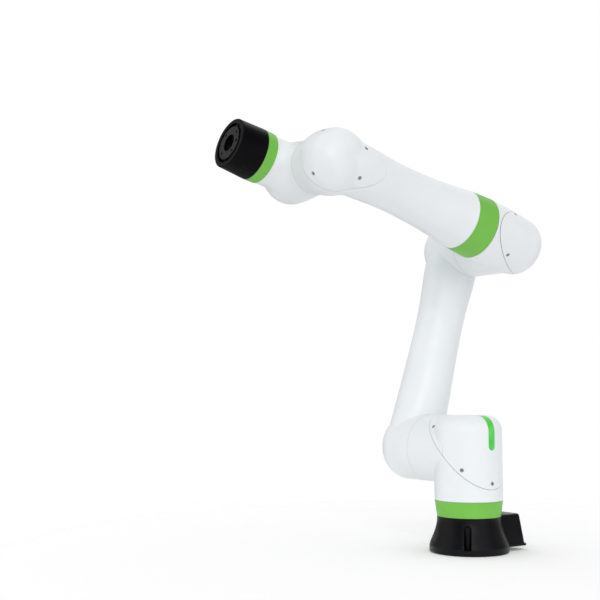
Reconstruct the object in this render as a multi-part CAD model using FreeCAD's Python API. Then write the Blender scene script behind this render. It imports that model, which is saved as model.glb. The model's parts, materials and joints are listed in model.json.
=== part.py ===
import FreeCAD, Part

# Collaborative robot arm: six rotary joints, white cast housings, green joint rings, black base and tool.
#
# The row frame has its origin at the centre of the base's mounting face, on the axis of joint 1. +Z is up,
# +X is the way the arm reaches, and the lower arm stands on the -Y side. Units are millimetres.
#
# Each housing is an elbow: one tube (the "a" axis) meets one tube across it (the "b" axis). It is drawn in
# its own elbow frame, with a along local X and b along local Y, and is then placed in the row frame.
# Each joint holds a sealed drive: a reducer and a motor in the driving casting, a hub on the driven one.

import math
import os

from FreeCAD import Matrix, Placement, Vector

# ---------------------------------------------------------------- driving dimensions
SHOULDER_HEIGHT = 185.0        # joint 2 axis above the mounting face
LOWER_ARM_LENGTH = 410.0       # joint 2 axis to joint 3 axis
FOREARM_LENGTH = 430.0         # joint 3 axis to joint 5 axis
WRIST_OFFSET = 130.0           # forearm axis to joint 6 axis, along joint 5
TOOL_LENGTH = 145.0            # joint 5 axis to the tool flange's face
LOWER_ARM_OFFSET = 157.0       # joint 1 axis to the lower arm's own axis
LOWER_ARM_LEAN = 16.25         # degrees behind the vertical, in the stored pose
FOREARM_RISE = 15.35           # degrees above the horizontal, in the stored pose

TURRET_RADIUS = 62.6
SHOULDER_RADIUS = 63.6
ELBOW_SIDE_RADIUS = 55.3
WRIST_RADIUS = 56.0
WAIST_RADIUS = 50.5            # both housings at joint 5
TOOL_RADIUS = 48.2
TOOL_FACE_RADIUS = 46.0
ARM_TOP_RADIUS = 55.5          # lower arm's end at joint 3
ARM_CROWNS = (44.5, 50.0)      # lower arm's axis to the outer side of its two ends
ARM_ROUNDS = (41.0, 30.0)
ARM_SECTIONS = (               # along the lower arm from joint 2: half depth and half width of its oval
    (0.0, 59.0, 41.0), (40.0, 57.3, 46.5), (80.0, 53.3, 48.7), (150.0, 49.3, 48.3), (205.0, 47.5, 46.8),
    (255.0, 47.1, 46.1), (300.0, 49.0, 47.0), (335.0, 52.2, 48.6), (360.0, 54.0, 49.2), (410.0, 54.8, 46.0))
ELBOW_CROWN = 53.5
FOREARM_CROWN = 47.0           # forearm's axis to the closed end of its cross tube
WRIST_CROWN = 50.0
FOREARM_PROFILE = ((-8, 44.0), (12, 47.2), (40, 48.4), (75, 46.8), (122, 44.6), (170, 45.6), (214, 48.2),
                   (250, 51.8))
FLARE_PROFILE = ((18.0, 71.2), (30.0, 66.2), (45.0, 60.9))
TURRET_ROUND = 28.0
ELBOW_ROUND = 41.0
WRIST_ROUND = 37.0
FOREARM_ROUND = 48.0
FOREARM_BLEND = 40.0           # inside corners between a housing's two tubes
WRIST_BLEND = 25.0

JOINT_FACE = 99.5              # joint 2 and 3 driving housings end here, from the joint 1 plane
JOINT_GAP = 1.0                # running gap between two housings
WRIST_FACE = WRIST_OFFSET / 2 - JOINT_GAP / 2
ARM_FACE = LOWER_ARM_OFFSET - JOINT_FACE - JOINT_GAP

RING_BASE = (65.0, 94.0)       # green ring of joint 1, heights
RING_BASE_RADII = (58.4, 62.4)
RING_ELBOW = (90.0, 136.5)     # green ring of joint 4, along the forearm from joint 3
RING_ELBOW_RADII = (60.2, 57.2)
RING_WRIST = (71.2, 91.7)      # green ring of joint 6, from joint 5
RING_WRIST_RADII = (47.5, 48.2)

FOOT_RADIUS = 73.0
FOOT_HEIGHT = 12.0
FOOT_ROUND = 3.0
BOLT_CIRCLE = 124.0
BASE_BOLT_HOLE = 8.8           # diameter, for M8
BASE_BOLT_POCKET = 6.8         # half width of the notch above each bolt hole
BASE_POCKET_TOP = 54.0
BASE_SOLE = 10.0               # thickness under a bolt head
COVER_RADIUS = 54.0
COVER_THICKNESS = 3.0
COVER_SINK = 0.4
COVER_SCREW_HEAD = 2.6
COVER_SCREW_SHANK = 1.25
COVER_SCREW_LENGTH = 7.0
PASSAGE_WIDTH = 30.0           # cable passage from the base to the connector box
PASSAGE_HEIGHT = 9.0
PASSAGE_BOTTOM = 12.5

BOX_REACH = 101.5              # connector box, out from the joint 1 axis
BOX_WIDTH = 76.0
BOX_TOP = 66.0
BOX_FOOT = 8.0
BOX_WALL = 4.0
BOX_TAPER = 3.5                # half the draft of each side between top and bottom
BOX_CORNER = 8.0
BOX_TOP_ROUND = 5.0
BOX_HEM = 2.0                  # hem around the box's foot
PANEL_WIDTH = 58.0
PANEL_HEIGHT = 42.0
PANEL_THICKNESS = 2.0
PANEL_LEDGE = 3.0
SOCKET_STAND = 3.0

FLANGE_RADIUS = 31.5           # ISO 9409-1-50-4-M6 tool flange
FLANGE_CIRCLE = 50.0
PILOT_RADIUS = 15.75
PILOT_DEPTH = 6.5
DOWEL_RADIUS = 3.0
TAP_RADIUS = 2.5               # M6 tapping drill
TAP_DEPTH = 12.0
FACE_RIM_RADIUS = 37.5         # inner edge of the rim around the tool face
FLANGE_TAIL = 113.0            # these three are distances from joint 5's axis
FLANGE_LEDGE = 133.0
FLANGE_SHOULDER = 4.0
LEDGE_THICKNESS = 5.0
FLANGE_SCREW_HEAD = 2.4
FLANGE_SCREW_SHANK = 1.4

LIGHT_WIDTH = 15.0
LIGHT_BOTTOM = 186.5
LIGHT_TOP = 24.0               # its upper end on the crown, from the joint 1 axis
LIGHT_DEPTH = 2.0

CAP_WALL = 4.0
HOUSING_WALL = 6.0
RIB_INSET = 5.0                # a web's rim, inside the casting's surface
WAIST_RIB_INSET = 4.0
LIP_GAP = 0.3                  # cap to the housing's locating lip
LIP_HEIGHT = 4.0
LIP_ROOT = 3.0
SEAM_GAP = 0.8                 # visible parting line between cap and housing

CAP_SCREW_HEAD = 3.2           # radius
CAP_SCREW_HEAD_HEIGHT = 2.2
CAP_SCREW_SINK = 0.3           # top of the head, below the surface
CAP_SCREW_SHANK = 1.5
CAP_SCREW_LENGTH = 9.0
LUG_RADIUS = 5.5
LUG_DEPTH = 8.0

# outer radii, lengths and hub screws of the two sizes of joint drive
LARGE = dict(unit=47.0, motor=44.0, hub=34.0, reducer_length=36.0, motor_length=34.0, hub_screws=8)
SMALL = dict(unit=36.0, motor=34.0, hub=25.0, reducer_length=24.0, motor_length=24.0, hub_screws=6)
LARGE_NECK = 53.0              # a casting's own tube inside a joint ring
SMALL_NECK = 42.3

FIT = 0.15                     # clearance of bought-in units in the castings
THREAD_FIT = 0.05              # between a screw's shank and its plain thread hole
RUNNING = 0.08                 # radial clearance of a hub in its reducer
HUB_STAND = 8.0                # hub face beyond the running gap
WEB = 6.0                      # thickness of the mounting webs
SHAFT_BORE = 8.0               # radius of the hollow joint shafts
HUB_DEPTH = 12.0               # a hub's reach into its reducer
BOARD_THICKNESS = 1.6
CHIP_HEIGHT = 2.0
HUB_SCREW_CIRCLE = 0.72        # share of a hub's radius
SPIGOT = 0.72                  # a motor's spigot, as a share of its reducer's radius
LOOM_RADIUS = 5.5              # internal cable bundle
LOOM_BEND = 25.0
LOOM_SWING = 40.0              # bends that carry the forearm's bundle past the motor
BIG = 700.0                    # larger than the part, for cutting blocks

# ---------------------------------------------------------------- directions and joint centres
X = Vector(1, 0, 0)
Y = Vector(0, 1, 0)
Z = Vector(0, 0, 1)
ORIGIN = Vector(0, 0, 0)
UP = Z
SIDE = Vector(0, -1, 0)        # towards the lower arm
lean = math.radians(LOWER_ARM_LEAN)
rise = math.radians(FOREARM_RISE)
ARM_DIR = Vector(-math.sin(lean), 0, math.cos(lean))
FORE_DIR = Vector(math.cos(rise), 0, math.sin(rise))

SHOULDER = UP * SHOULDER_HEIGHT
ELBOW = SHOULDER + ARM_DIR * LOWER_ARM_LENGTH
WRIST_IN = ELBOW + FORE_DIR * FOREARM_LENGTH
WRIST_OUT = WRIST_IN + SIDE * WRIST_OFFSET


def frame(origin, a, b):
    """Placement that carries local X to a, local Y to b and the local origin to a point."""
    c = a.cross(b)
    rows = (a.x, b.x, c.x, origin.x, a.y, b.y, c.y, origin.y, a.z, b.z, c.z, origin.z, 0, 0, 0, 1)
    return Placement(Matrix(*rows))


BASE_FRAME = frame(ORIGIN, UP, SIDE)
TURRET_FRAME = frame(SHOULDER, UP * -1, SIDE)
ARM_FRAME = frame(SHOULDER + SIDE * LOWER_ARM_OFFSET, ARM_DIR, SIDE * -1)
ELBOW_FRAME = frame(ELBOW, FORE_DIR, SIDE)
FOREARM_FRAME = frame(WRIST_IN, FORE_DIR * -1, SIDE)
WRIST_FRAME = frame(WRIST_OUT, FORE_DIR, SIDE * -1)
draft = math.atan2(2 * BOX_TAPER, BOX_TOP - BOX_FOOT)
PANEL_FRAME = frame(Vector(-BOX_REACH, 0, (BOX_TOP + BOX_FOOT) / 2),
                    Vector(-math.cos(draft), 0, math.sin(draft)), SIDE)
# place on the panel, radius, number of pins
SOCKETS = ((Vector(0, -16.0, 8.0), 9.0, 5), (Vector(0, 10.0, 9.0), 7.0, 4), (Vector(0, 8.0, -11.0), 6.0, 4),
           (Vector(0, -14.0, -12.5), 5.0, 3))


# ---------------------------------------------------------------- drawing helpers
def placed(shape, where):
    """A copy of shape, moved from a local frame to the row frame."""
    moved = shape.copy()
    moved.Placement = where.multiply(moved.Placement)
    return moved


def unplaced(shape, where):
    return placed(shape, where.inverse())


def rod(radius, start, end, axis=X, centre=ORIGIN):
    """Cylinder along axis between two distances from centre."""
    return Part.makeCylinder(radius, end - start, centre + axis * start, axis)


def tube(outer, inner, start, end, axis=X, centre=ORIGIN):
    return rod(outer, start, end, axis, centre).cut(rod(inner, start - 1, end + 1, axis, centre))


def cone(first, last, start, end):
    return Part.makeCone(first, last, end - start, X * start, X)


def turned(points, smooth=False):
    """Solid of revolution about local X from an outline of (distance along X, radius) points."""
    outline = [Vector(s, r, 0) for s, r in points]
    if smooth:
        curve = Part.BSplineCurve()
        curve.interpolate(outline)
        edges = [curve.toShape()]
    else:
        edges = [Part.makeLine(p, q) for p, q in zip(outline, outline[1:])]
    first, last = outline[0], outline[-1]
    foot_first = Vector(first.x, 0, 0)
    foot_last = Vector(last.x, 0, 0)
    edges.append(Part.makeLine(last, foot_last))
    edges.append(Part.makeLine(foot_last, foot_first))
    edges.append(Part.makeLine(foot_first, first))
    face = Part.Face(Part.Wire(Part.__sortEdges__(edges)))
    return face.revolve(ORIGIN, X, 360)


def edges_at(solid, where, axis=X):
    """The edges of a solid of revolution that lie in the plane at a distance along axis."""
    found = []
    for edge in solid.Edges:
        heights = [edge.valueAt(t).dot(axis) for t in edge.ParameterRange]
        heights.append(edge.valueAt(sum(edge.ParameterRange) / 2).dot(axis))
        if all(abs(h - where) < 1e-3 for h in heights):
            found.append(edge)
    return found


def round_rim(solid, radius, where, axis=X):
    return solid.makeFillet(radius, edges_at(solid, where, axis))


def ring_points(count, radius, first=0.0):
    """Points on a circle in the local YZ plane."""
    angles = [math.radians(first + 360.0 * i / count) for i in range(count)]
    return [Vector(0, radius * math.cos(t), radius * math.sin(t)) for t in angles]


def block_above(point, along, normal):
    """The half space on the normal's side of a plane square to local XY, as a large block."""
    block = Part.makeBox(BIG, BIG, BIG, Vector(-BIG / 2, 0, -BIG / 2))
    return placed(block, frame(point, along, normal))


def screw(head_radius, head_height, shank_radius, length):
    """Socket head screw along local X: the head stands above 0 and the shank runs below it."""
    corners = ring_points(6, head_radius * 0.5)
    corners = [c + X * (head_height * 0.4) for c in corners + corners[:1]]
    socket = Part.Face(Part.makePolygon(corners)).extrude(X * head_height)
    return rod(head_radius, 0, head_height).cut(socket).fuse(rod(shank_radius, -length, 0.0))


def group(shapes):
    """Several separate solids kept as one group."""
    return Part.makeCompound([s for shape in shapes for s in shape.Solids])


def export(node, shape):
    """Writes one node's STEP file, and stops on anything that is not a sound solid."""
    found = shape.Solids
    if not found or not shape.isValid():
        raise ValueError(f"{node} is not a valid solid")
    whole = found[0] if len(found) == 1 else Part.makeCompound(found)
    whole.exportStep(f"parts/{node}.step")
    print(f"{node}: {len(found)} solid(s), {shape.Volume / 1000:.1f} cm3")


# ---------------------------------------------------------------- joint drives
class Drive:
    """The sealed drive of one joint, along local X, with 0 at the driving casting's end face.

    The reducer and the motor sit on either side of a web in the driving casting. The hub turns in the reducer
    and is screwed to a web in the driven casting, beyond the running gap.
    """

    def __init__(self, place, unit, motor, hub, reducer_length, motor_length, hub_screws):
        self.place = place
        self.unit = unit
        self.motor_radius = motor
        self.hub_radius = hub
        self.web_front = -reducer_length - 2.0
        self.web_back = self.web_front - WEB
        self.motor_back = self.web_back - motor_length
        self.hub_face = JOINT_GAP + HUB_STAND
        self.hub_screws = hub_screws
        self.spigot = unit * SPIGOT

    def put(self, shape):
        return placed(shape, self.place)

    def reducer(self):
        body = rod(self.unit - FIT, self.web_front, -2.0)
        body = body.makeChamfer(1.0, edges_at(body, -2.0))
        body = body.cut(rod(self.hub_radius + RUNNING, -HUB_DEPTH - 2.5, 0))
        groove = tube(self.unit, self.unit - 1.5, self.web_front + 12, self.web_front + 14)
        return self.put(body.cut(groove).cut(rod(SHAFT_BORE, self.web_front - 1, 0)))

    def motor(self):
        body = rod(self.motor_radius, self.motor_back, self.web_back)
        body = body.makeChamfer(2.0, edges_at(body, self.motor_back))
        body = body.fuse(rod(self.spigot - FIT, self.web_back, self.web_front))
        for offset in (6.0, 11.0, 16.0):
            start = self.motor_back + offset
            body = body.cut(tube(self.motor_radius + 1, self.motor_radius - 1.5, start, start + 2.5))
        return self.put(body.cut(rod(SHAFT_BORE, self.motor_back - 1, 0)))

    def board(self):
        back = self.motor_back
        body = rod(self.motor_radius - 3, back - BOARD_THICKNESS, back)
        for i, point in enumerate(ring_points(6, self.motor_radius * 0.62)):
            size = 9.0 if i % 2 else 6.0
            corner = point + Vector(back - BOARD_THICKNESS - CHIP_HEIGHT, -size / 2, -size / 2)
            body = body.fuse(Part.makeBox(CHIP_HEIGHT, size, size, corner))
        return self.put(body.cut(rod(SHAFT_BORE + 1, back - 5, back + 1)))

    def driving_web(self, shell_radius):
        """Web that carries the reducer and the motor, in the driving casting."""
        return self.put(tube(shell_radius, self.spigot, self.web_back, self.web_front))

    def driven_web(self, shell_radius):
        """Web that the hub is screwed to, in the driven casting."""
        web = tube(shell_radius, SHAFT_BORE + 4, self.hub_face, self.hub_face + WEB)
        for point in ring_points(self.hub_screws, self.hub_radius * HUB_SCREW_CIRCLE):
            web = web.cut(rod(2.2, self.hub_face - 1, self.hub_face + WEB + 1, X, point))
        return self.put(web)

    def hub(self):
        body = rod(self.hub_radius, -HUB_DEPTH, self.hub_face)
        body = body.cut(rod(SHAFT_BORE, -HUB_DEPTH - 1, self.hub_face + 1))
        for point in ring_points(self.hub_screws, self.hub_radius * HUB_SCREW_CIRCLE):
            body = body.cut(rod(2.0, self.hub_face - 10, self.hub_face + 1, X, point))
        return self.put(body)

    def screws(self):
        """The hub's screws, heads on the far side of the driven web."""
        one = screw(3.5, 4.0, 1.95, WEB + 9)
        seat = X * (self.hub_face + WEB)
        points = ring_points(self.hub_screws, self.hub_radius * HUB_SCREW_CIRCLE)
        return self.put(group([placed(one, frame(point + seat, X, Y)) for point in points]))

    def envelope(self):
        """Room that the reducer, the web and the motor need, with a little clearance."""
        reducer_room = rod(self.unit, self.web_front, 1.0)
        return self.put(reducer_room.fuse(rod(self.motor_radius + 1, self.motor_back - 6, self.web_front)))


DRIVES = {
    "j1": Drive(frame(UP * RING_BASE[1], UP, SIDE), **LARGE),
    "j2": Drive(frame(SHOULDER + SIDE * JOINT_FACE, SIDE, UP), **LARGE),
    "j3": Drive(frame(ELBOW + SIDE * JOINT_FACE, SIDE, UP), **LARGE),
    "j4": Drive(frame(ELBOW + FORE_DIR * RING_ELBOW[1], FORE_DIR, SIDE), **LARGE),
    "j5": Drive(frame(WRIST_IN + SIDE * WRIST_FACE, SIDE, UP), **SMALL),
    "j6": Drive(frame(WRIST_OUT + FORE_DIR * RING_WRIST[1], FORE_DIR, SIDE), **SMALL),
}
LOWER_ARM_DRIVES = ("j2", "j3")


# ---------------------------------------------------------------- housings with a screwed cap
class Seam:
    """A sloping parting plane in a housing's own frame, from one (a, b) point to another."""

    def __init__(self, start, end, screw_angles, screw_height):
        first = Vector(start[0], start[1], 0)
        last = Vector(end[0], end[1], 0)
        self.along = (last - first).normalize()
        self.middle = (first + last) * 0.5
        self.normal = Vector(self.along.y, -self.along.x, 0)
        if self.normal.y > 0:
            self.normal = self.normal * -1
        self.screw_angles = screw_angles
        self.screw_height = screw_height

    def above(self, height):
        """Everything on the cap's side of the plane, raised by height."""
        return block_above(self.middle + self.normal * height, self.along, self.normal)


class Shell:
    """A hollow casting and its screwed caps, in the casting's own frame."""

    def __init__(self, place, solid_at, seams, keep_clear, ribs):
        self.place = place
        self.solid_at = solid_at            # solid_at(inset, open_by): the filled shape, inset all round
        self.seams = seams
        self.outer = solid_at(0.0, 0.0)
        self.housing = self.outer.cut(solid_at(HOUSING_WALL, 1.0))
        self.keep_clear = [unplaced(room, place) for room in keep_clear]
        for rib in ribs:
            self.housing = self.housing.fuse(unplaced(rib, place))
        self.caps = []
        self.screws = []
        for seam in seams:
            self.part_at(seam)

    def seats(self, seam):
        """Where the cap's screws go in: a point on the outer surface and the outward direction there."""
        found = []
        height = seam.middle.dot(seam.normal) + seam.screw_height
        wire = max(self.outer.slice(seam.normal, height), key=lambda w: w.Length)
        centre = seam.middle + seam.normal * seam.screw_height
        for angle in seam.screw_angles:
            t = math.radians(angle)
            ray = seam.along * math.cos(t) + Z * math.sin(t)
            hit = Part.makeLine(centre, centre + ray * BIG).distToShape(wire)[1][0][0]
            face = min(self.outer.Faces, key=lambda f: f.distToShape(Part.Vertex(hit))[0])
            found.append((hit, face.normalAt(*face.Surface.parameter(hit))))
        return found

    def lug(self, seam, point, out):
        """Threaded lug that stands up from the housing, behind the cap's wall."""
        lug = rod(LUG_RADIUS, -CAP_WALL - LUG_DEPTH, 0, out, point)
        root = point - out * (CAP_WALL + LUG_DEPTH / 2)
        stem = rod(LUG_DEPTH / 2, -seam.screw_height - 12.0, 0, seam.normal, root)
        return lug.fuse(stem)

    def part_at(self, seam):
        """Splits the cap off the housing, with a locating lip, lugs and screws."""
        cap_space = self.solid_at(CAP_WALL + LIP_GAP, 0.0)
        housing_space = self.solid_at(HOUSING_WALL, 1.0)
        keep_side = self.housing.cut(seam.above(-SEAM_GAP / 2))
        lip = cap_space.cut(housing_space).common(seam.above(-LIP_ROOT)).cut(seam.above(LIP_HEIGHT))
        cap = self.outer.cut(self.solid_at(CAP_WALL, 1.0)).common(seam.above(SEAM_GAP / 2))
        seats = self.seats(seam)
        lugs = [self.lug(seam, point, out) for point, out in seats]
        lugs = lugs[0].multiFuse(lugs[1:]).common(cap_space)
        inner_webs = self.housing.common(self.solid_at(CAP_WALL + LIP_GAP, 1.0)).common(housing_space)
        housing = keep_side.fuse(lip).fuse(lugs)
        if inner_webs.Solids:
            housing = housing.fuse(inner_webs)
        for room in self.keep_clear:
            housing = housing.cut(room)
        for point, out in seats:
            thread = rod(CAP_SCREW_SHANK + THREAD_FIT, -CAP_WALL - CAP_SCREW_LENGTH, 1, out, point)
            recess = rod(CAP_SCREW_HEAD + 0.4, -CAP_SCREW_HEAD_HEIGHT - CAP_SCREW_SINK, 4, out, point)
            cap = cap.cut(recess).cut(thread)
            housing = housing.cut(thread)
            one = screw(CAP_SCREW_HEAD, CAP_SCREW_HEAD_HEIGHT, CAP_SCREW_SHANK, CAP_SCREW_LENGTH)
            seat = point - out * (CAP_SCREW_HEAD_HEIGHT + CAP_SCREW_SINK)
            self.screws.append(placed(one, frame(seat, out, out.cross(Z).normalize())))
        self.housing = max(housing.Solids, key=lambda s: s.Volume)
        self.caps.append(cap)

    def write(self, name, cap_names):
        export(f"{name}_casting", placed(self.housing, self.place))
        for cap_name, cap in zip(cap_names, self.caps):
            export(cap_name, placed(cap, self.place))
        export(f"{name}_cap_screws", placed(group(self.screws), self.place))


def turret_solid(inset, open_by):
    crown = SHOULDER_RADIUS - inset
    foot = SHOULDER_HEIGHT - RING_BASE[1] - JOINT_GAP + open_by
    post = round_rim(rod(TURRET_RADIUS - inset, -crown, foot), TURRET_ROUND - inset, -crown)
    return post.fuse(rod(SHOULDER_RADIUS - inset, 0, JOINT_FACE + open_by, Y))


def swept_profile(outline, inset, crown, rounding, open_by):
    """Smooth body of revolution about local X, rounded at its crown and open at its other end."""
    points = [(-crown + inset, outline[0][1] - inset)]
    points += [(s, r - inset) for s, r in outline]
    solid = round_rim(turned(points, smooth=True), rounding - inset, -crown + inset)
    if open_by:
        end, radius = outline[-1]
        solid = solid.fuse(rod(radius - inset - 0.5, end - 3.0, end + open_by))
    return solid


def across(solid):
    """Turns a body drawn about local X so that it stands about local Y."""
    return placed(solid, frame(ORIGIN, Y, X * -1))


def joined(post, side, blend):
    """A housing's two tubes as one body, with the inside corner where they cross rounded off."""
    solid = post.fuse(side)
    if not blend:
        return solid
    boxes = [(edge, edge.BoundBox) for edge in solid.Edges]
    crossing = [edge for edge, box in boxes if min(box.XLength, box.YLength, box.ZLength) > 0.01]
    return solid.makeFillet(blend, crossing)


def elbow_solid(inset, open_by):
    tip = RING_ELBOW[0] - FIT
    outline = [(-10, 56.6), (15, 58.4), (50, 59.4), (tip, RING_ELBOW_RADII[0])]
    post = swept_profile(outline, inset, ELBOW_CROWN, ELBOW_ROUND, open_by)
    return post.fuse(rod(ELBOW_SIDE_RADIUS - inset, 0, JOINT_FACE + open_by, Y))


def forearm_solid(inset, open_by):
    length = FOREARM_LENGTH - RING_ELBOW[1] - JOINT_GAP
    outline = [*FOREARM_PROFILE, (length, RING_ELBOW_RADII[1])]
    solid = turned([(s, r - inset) for s, r in outline], smooth=True)
    if open_by:
        solid = solid.fuse(rod(outline[-1][1] - inset - 1.0, length - 5.0, length + open_by))
    cross_tube = [(2, 58.0), (18, 58.6), (40, 55.2), (WRIST_FACE, WAIST_RADIUS)]
    bulb = across(swept_profile(cross_tube, inset, FOREARM_CROWN, FOREARM_ROUND, open_by))
    return joined(solid, bulb, 0.0 if inset else FOREARM_BLEND)


def wrist_solid(inset, open_by):
    outline = [(0, 49.0), (30, 46.6), (50, 45.8), (RING_WRIST[0] - FIT, 46.6)]
    solid = turned([(s, r - inset) for s, r in outline], smooth=True)
    if open_by:
        solid = solid.fuse(rod(45.8 - inset, RING_WRIST[0] - 3.0, RING_WRIST[0] + open_by))
    cross_tube = [(-12, WRIST_RADIUS), (10, 55.2), (36, 52.2), (WRIST_FACE, WAIST_RADIUS)]
    bulb = across(swept_profile(cross_tube, inset, WRIST_CROWN, WRIST_ROUND, open_by))
    return joined(solid, bulb, 0.0 if inset else WRIST_BLEND)


def oval(along, half_depth, half_width):
    """Closed oval outline square to local X, with its half sizes along local Z and local Y."""
    long_way = Z if half_depth >= half_width else Y
    long_half = max(half_depth, half_width)
    short_half = min(half_depth, half_width - 0.01)
    centre = X * along
    ellipse = Part.Ellipse(centre + long_way * long_half, centre + X.cross(long_way) * short_half, centre)
    return Part.Wire(ellipse.toShape())


def arm_solid(inset, open_by):
    ovals = [oval(along, depth - inset, width - inset) for along, depth, width in ARM_SECTIONS]
    solid = Part.makeLoft(ovals, True)
    ends = ((0.0, SHOULDER_RADIUS), (LOWER_ARM_LENGTH, ARM_TOP_RADIUS))
    for (centre, radius), crown, rounding in zip(ends, ARM_CROWNS, ARM_ROUNDS):
        bulb = rod(radius - inset, inset - crown, ARM_FACE + open_by, Y, X * centre)
        solid = solid.fuse(round_rim(bulb, rounding - inset, inset - crown, Y))
    return solid


def ring(span, radii, neck):
    """A green joint ring, wider at one end, that slips over the neck of a casting."""
    body = cone(radii[0], radii[1], *span)
    for where in span:
        body = body.makeFillet(0.8, edges_at(body, where))
    return body.cut(rod(neck + FIT, span[0] - 1, span[1] + 1))


def neck(outer, inner, span):
    """The casting's own tube behind a joint ring."""
    return tube(outer, inner, span[0] - HOUSING_WALL, span[1] - 1.0)


# ---------------------------------------------------------------- turret, lower arm, elbow, forearm, wrist
def make_turret():
    ribs = [DRIVES["j1"].driven_web(TURRET_RADIUS - RIB_INSET),
            DRIVES["j2"].driving_web(SHOULDER_RADIUS - RIB_INSET)]
    seam = Seam((71.0, -64.8), (0.0, 9.0), (-96, -24, 24, 96, 180), 8.0)
    return Shell(TURRET_FRAME, turret_solid, [seam], [DRIVES["j2"].envelope()], ribs)


def make_elbow():
    bore = DRIVES["j4"].unit
    tail = placed(neck(LARGE_NECK, bore, RING_ELBOW), ELBOW_FRAME)
    end = RING_ELBOW[0] - FIT
    shoulder = placed(tube(RING_ELBOW_RADII[0] - RIB_INSET, bore, end - HOUSING_WALL, end), ELBOW_FRAME)
    ribs = [tail, shoulder, DRIVES["j3"].driving_web(ELBOW_SIDE_RADIUS - RIB_INSET),
            DRIVES["j4"].driving_web(LARGE_NECK)]
    seam = Seam((84.0, -59.8), (-57.5, 15.0), (-127, -45, 45, 127), 6.5)
    rooms = [DRIVES["j3"].envelope(), DRIVES["j4"].envelope()]
    return Shell(ELBOW_FRAME, elbow_solid, [seam], rooms, ribs)


def make_forearm():
    ribs = [DRIVES["j4"].driven_web(LARGE_NECK), DRIVES["j5"].driving_web(WAIST_RADIUS - WAIST_RIB_INSET)]
    seam = Seam((80.0, -48.5), (-55.0, 24.0), (-135, -38, 38, 135), 16.0)
    return Shell(FOREARM_FRAME, forearm_solid, [seam], [DRIVES["j5"].envelope()], ribs)


def make_wrist():
    bore = DRIVES["j6"].unit
    tail = placed(neck(SMALL_NECK, bore, RING_WRIST), WRIST_FRAME)
    end = RING_WRIST[0] - FIT
    shoulder = placed(tube(RING_WRIST_RADII[0] - 3, bore, end - HOUSING_WALL, end), WRIST_FRAME)
    ribs = [tail, shoulder, DRIVES["j5"].driven_web(WAIST_RADIUS - WAIST_RIB_INSET),
            DRIVES["j6"].driving_web(SMALL_NECK)]
    seam = Seam((52.0, -49.0), (-56.0, 19.0), (-135, -38, 38, 135), 13.0)
    return Shell(WRIST_FRAME, wrist_solid, [seam], [DRIVES["j6"].envelope()], ribs)


def make_arm():
    ribs = [DRIVES["j2"].driven_web(SHOULDER_RADIUS - RIB_INSET),
            DRIVES["j3"].driven_web(ARM_TOP_RADIUS - RIB_INSET)]
    shoulder = Seam((62.0, -50.0), (-62.0, -21.0), (-135, -45, 45, 135), 7.0)
    elbow = Seam((352.0, -52.0), (466.0, -30.0), (-135, -45, 45, 135), 7.0)
    return Shell(ARM_FRAME, arm_solid, [shoulder, elbow], [], ribs)


# ---------------------------------------------------------------- base
def base_profile(grow=0.0):
    """The flared foot, filled, grown all round."""
    flare = [(FOOT_HEIGHT, FOOT_RADIUS), *FLARE_PROFILE, (RING_BASE[0], RING_BASE_RADII[0])]
    foot = turned([(s, r + grow) for s, r in flare], smooth=True)
    rim = rod(FOOT_RADIUS + grow, 0, FOOT_HEIGHT)
    rim = rim.makeFillet(FOOT_ROUND, edges_at(rim, 0))
    return foot.fuse(rim)


def bolt_points(first=45.0):
    return ring_points(4, BOLT_CIRCLE / 2, first)


def bolt_notch(point):
    """A notch in the flare for a bolt and its key: open to the outside, and rounded at its top."""
    out = Vector(point).normalize()
    arch = BASE_POCKET_TOP - BASE_BOLT_POCKET
    depth = 2 * (FOOT_RADIUS - BOLT_CIRCLE / 2)
    corner = Vector(BASE_SOLE, 0, -BASE_BOLT_POCKET)
    slot = Part.makeBox(arch - BASE_SOLE, depth, 2 * BASE_BOLT_POCKET, corner)
    notch = placed(slot, frame(point, X, out)).fuse(rod(BASE_BOLT_POCKET, BASE_SOLE, arch, X, point))
    crown = Part.makeSphere(BASE_BOLT_POCKET, point + X * arch)
    return notch.multiFuse([crown, rod(BASE_BOLT_POCKET, 0, depth, out, point + X * arch)])


def cover_screw_points():
    return ring_points(4, COVER_RADIUS - 3.5)


def make_base():
    bore = DRIVES["j1"].unit
    casting = base_profile().fuse(rod(LARGE_NECK, RING_BASE[0] - 1, RING_BASE[1] - 1))
    casting = casting.cut(rod(bore, -1, RING_BASE[1]))
    casting = casting.cut(rod(COVER_RADIUS, -1, COVER_SINK + COVER_THICKNESS))
    for point in cover_screw_points():
        thread = rod(COVER_SCREW_SHANK + THREAD_FIT, 0, COVER_SINK + COVER_SCREW_LENGTH + 3, X, point)
        casting = casting.cut(thread)
    passage = Part.makeBox(FOOT_RADIUS, PASSAGE_WIDTH, PASSAGE_HEIGHT,
                           Vector(-FOOT_RADIUS, -PASSAGE_WIDTH / 2, PASSAGE_BOTTOM))
    casting = casting.cut(unplaced(passage, BASE_FRAME))
    casting = casting.fuse(unplaced(DRIVES["j1"].driving_web(bore + 1), BASE_FRAME))
    for point in bolt_points():
        casting = casting.cut(bolt_notch(point)).cut(rod(BASE_BOLT_HOLE / 2, -1, BASE_SOLE + 1, X, point))
    return casting


def make_bottom_cover():
    cover = rod(COVER_RADIUS - FIT, COVER_SINK, COVER_SINK + COVER_THICKNESS)
    for point in cover_screw_points():
        cover = cover.cut(rod(COVER_SCREW_HEAD + 0.3, COVER_SINK - 1, COVER_SINK + 1.8, X, point))
        cover = cover.cut(rod(COVER_SCREW_SHANK + 0.2, 0, COVER_THICKNESS + 1, X, point))
    return cover


def make_cover_screws():
    one = screw(COVER_SCREW_HEAD, 1.6, COVER_SCREW_SHANK, COVER_SCREW_LENGTH)
    seat = X * (COVER_SINK + 1.8)
    return group([placed(one, frame(point + seat, X * -1, Y)) for point in cover_screw_points()])


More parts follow.
